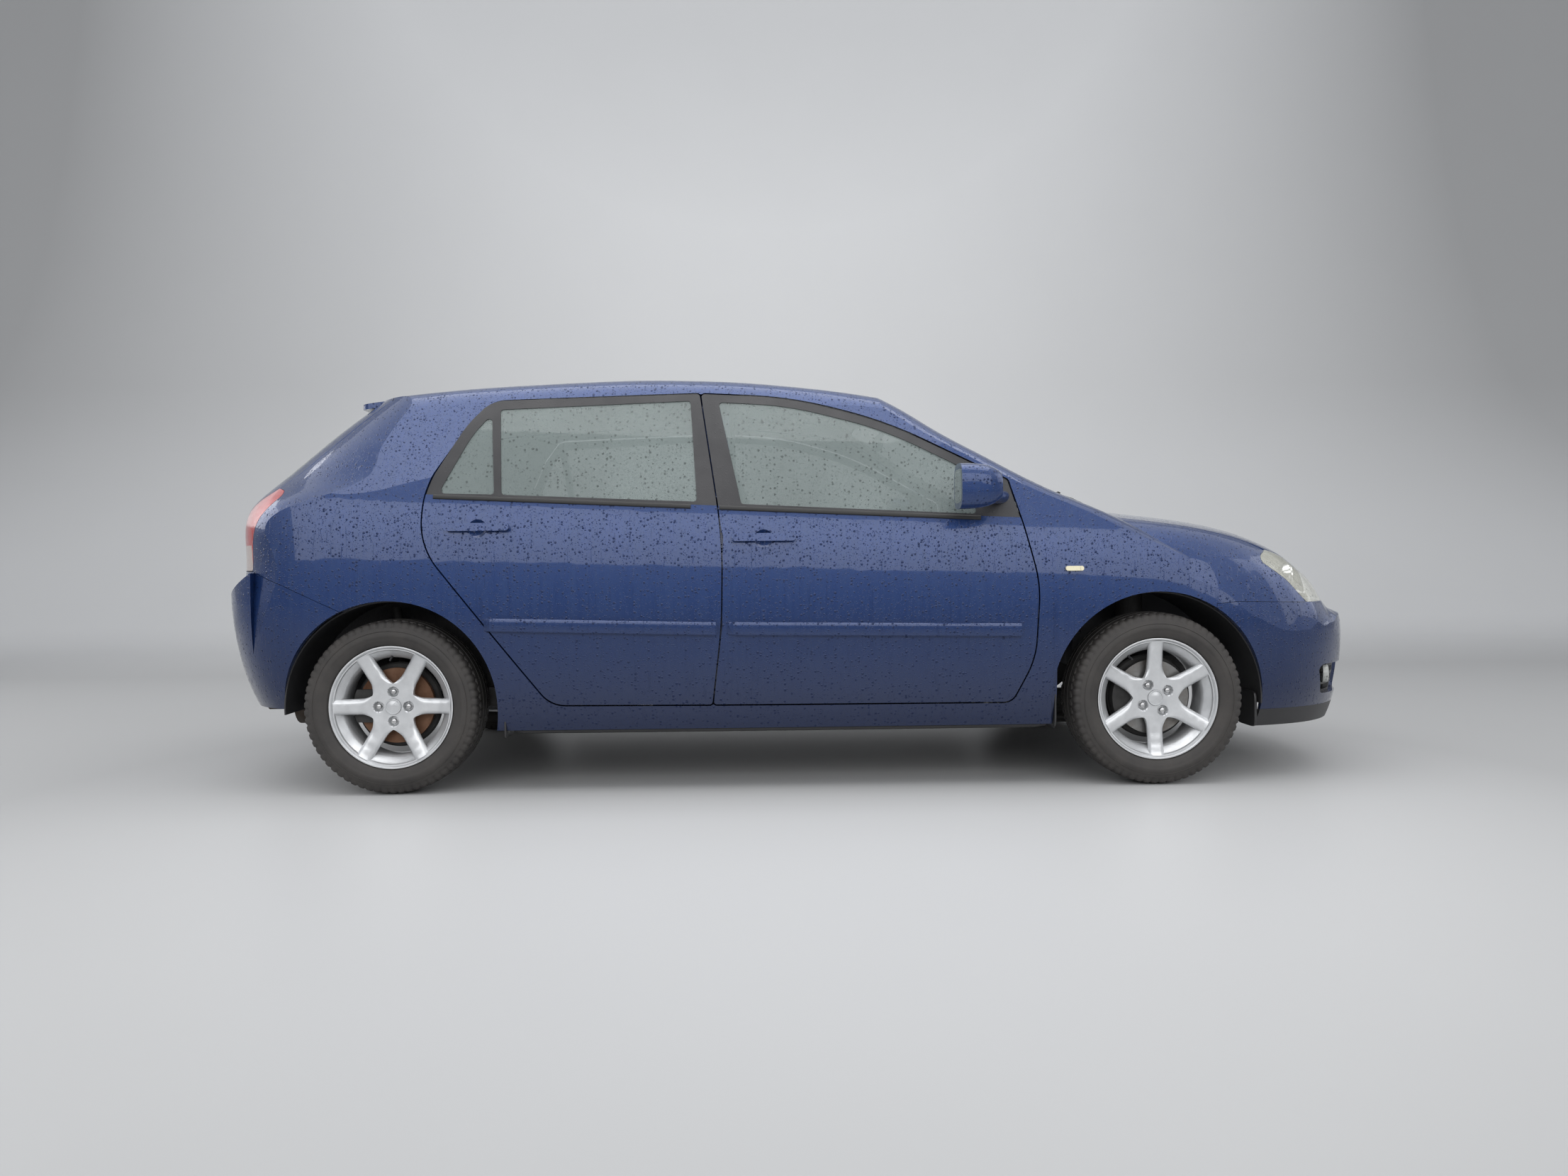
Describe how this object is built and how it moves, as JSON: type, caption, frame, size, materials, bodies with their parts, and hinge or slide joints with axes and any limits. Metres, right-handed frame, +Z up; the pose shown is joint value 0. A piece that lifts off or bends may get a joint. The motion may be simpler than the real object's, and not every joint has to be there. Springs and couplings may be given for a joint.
{
  "type": "five-door hatchback car",
  "caption": "Compact hatchback with side doors, tailgate and bonnet that open, wheels that roll and front wheels that steer.",
  "frame": {"origin": "on the ground under the middle of the car", "axes": "+X forward to the nose, +Y to the left of the car, +Z up"},
  "size_m": [4.18, 1.986, 1.4639],
  "materials": {
    "alloy": "satin",
    "black_plastic": "matte",
    "body_paint": "gloss",
    "cabin_plastic": "matte",
    "chassis_steel": "satin",
    "clear_lamp": "clear",
    "disc_iron": "satin",
    "engine_iron": "matte",
    "exhaust_steel": "satin",
    "painted_plastic": "gloss",
    "red_lamp": "gloss",
    "seat_fabric": "matte",
    "tank_plastic": "matte",
    "tyre": "matte",
    "underbody_paint": "satin",
    "window_glass": "clear"
  },
  "bodies": {
    "car_body": {"cowl_panel": "black_plastic", "dashboard": "cabin_plastic", "engine_bay_frame": "underbody_paint", "engine_block": "engine_iron", "exhaust": "exhaust_steel", "floor_pan": "underbody_paint", "front_bumper": "painted_plastic", "front_lamps": "clear_lamp", "front_lip": "black_plastic", "front_seats": "seat_fabric", "front_subframe": "chassis_steel", "front_wings": "body_paint", "fuel_tank": "tank_plastic", "lower_grille": "black_plastic", "rear_axle": "chassis_steel", "rear_bumper": "painted_plastic", "rear_seat": "seat_fabric", "roof_panel": "body_paint", "seat_bases": "black_plastic", "side_frame_left": "body_paint", "side_frame_right": "body_paint", "steering_wheel": "cabin_plastic", "tail_lamps": "red_lamp", "upper_grille": "black_plastic", "wheel_arch_liners": "black_plastic", "windscreen": "window_glass"},
    "front_right_door": {"front_right_door": "body_paint", "front_right_door_glass": "window_glass", "front_right_handle": "painted_plastic", "front_right_mirror": "painted_plastic"},
    "rear_right_door": {"rear_right_door": "body_paint", "rear_right_door_glass": "window_glass", "rear_right_handle": "painted_plastic"},
    "front_right_knuckle": {"front_right_knuckle": "chassis_steel"},
    "front_right_wheel": {"front_right_rim": "alloy", "front_right_tyre": "tyre", "front_right_brake_disc": "disc_iron"},
    "rear_right_wheel": {"rear_right_rim": "alloy", "rear_right_tyre": "tyre", "rear_right_brake_disc": "disc_iron"},
    "front_left_door": {"front_left_door": "body_paint", "front_left_door_glass": "window_glass", "front_left_handle": "painted_plastic", "front_left_mirror": "painted_plastic"},
    "rear_left_door": {"rear_left_door": "body_paint", "rear_left_door_glass": "window_glass", "rear_left_handle": "painted_plastic"},
    "front_left_knuckle": {"front_left_knuckle": "chassis_steel"},
    "front_left_wheel": {"front_left_rim": "alloy", "front_left_tyre": "tyre", "front_left_brake_disc": "disc_iron"},
    "rear_left_wheel": {"rear_left_rim": "alloy", "rear_left_tyre": "tyre", "rear_left_brake_disc": "disc_iron"},
    "tailgate": {"tailgate_panel": "body_paint", "tailgate_glass": "window_glass", "rear_spoiler": "painted_plastic"},
    "bonnet": {"bonnet": "body_paint"}
  },
  "joints": [
    {"name": "front_right_door_hinge", "type": "hinge", "parent": "car_body", "child": "front_right_door", "pos_m": [0.78, -0.855, 0.65], "axis": [0, 0, 1], "range_deg": [0, 65]},
    {"name": "rear_right_door_hinge", "type": "hinge", "parent": "car_body", "child": "rear_right_door", "pos_m": [-0.29, -0.855, 0.65], "axis": [0, 0, 1], "range_deg": [0, 68]},
    {"name": "front_right_steer", "type": "hinge", "parent": "car_body", "child": "front_right_knuckle", "pos_m": [1.195, -0.7, 0.19], "axis": [-0.0255, 0.1673, 0.9856], "range_deg": [-33, 33]},
    {"name": "front_right_wheel_spin", "type": "hinge", "parent": "front_right_knuckle", "child": "front_right_wheel", "pos_m": [1.195, -0.739, 0.295], "axis": [0, 1, 0], "continuous": true},
    {"name": "rear_right_wheel_spin", "type": "hinge", "parent": "car_body", "child": "rear_right_wheel", "pos_m": [-1.405, -0.73, 0.295], "axis": [0, 1, 0], "continuous": true},
    {"name": "front_left_door_hinge", "type": "hinge", "parent": "car_body", "child": "front_left_door", "pos_m": [0.78, 0.855, 0.65], "axis": [0, 0, -1], "range_deg": [0, 65]},
    {"name": "rear_left_door_hinge", "type": "hinge", "parent": "car_body", "child": "rear_left_door", "pos_m": [-0.29, 0.855, 0.65], "axis": [0, 0, -1], "range_deg": [0, 68]},
    {"name": "front_left_steer", "type": "hinge", "parent": "car_body", "child": "front_left_knuckle", "pos_m": [1.195, 0.7, 0.19], "axis": [-0.0255, -0.1673, 0.9856], "range_deg": [-33, 33]},
    {"name": "front_left_wheel_spin", "type": "hinge", "parent": "front_left_knuckle", "child": "front_left_wheel", "pos_m": [1.195, 0.739, 0.295], "axis": [0, 1, 0], "continuous": true},
    {"name": "rear_left_wheel_spin", "type": "hinge", "parent": "car_body", "child": "rear_left_wheel", "pos_m": [-1.405, 0.73, 0.295], "axis": [0, 1, 0], "continuous": true},
    {"name": "bonnet_hinge", "type": "hinge", "parent": "car_body", "child": "bonnet", "pos_m": [1.05, 0, 0.96], "axis": [0, -1, 0], "range_deg": [0, 52]},
    {"name": "tailgate_hinge", "type": "hinge", "parent": "car_body", "child": "tailgate", "pos_m": [-1.465, 0, 1.412], "axis": [0, 1, 0], "range_deg": [0, 78]}
  ],
  "couplings": [
    {"joint": "front_left_steer", "follows": "front_right_steer", "ratio": 1}
  ]
}
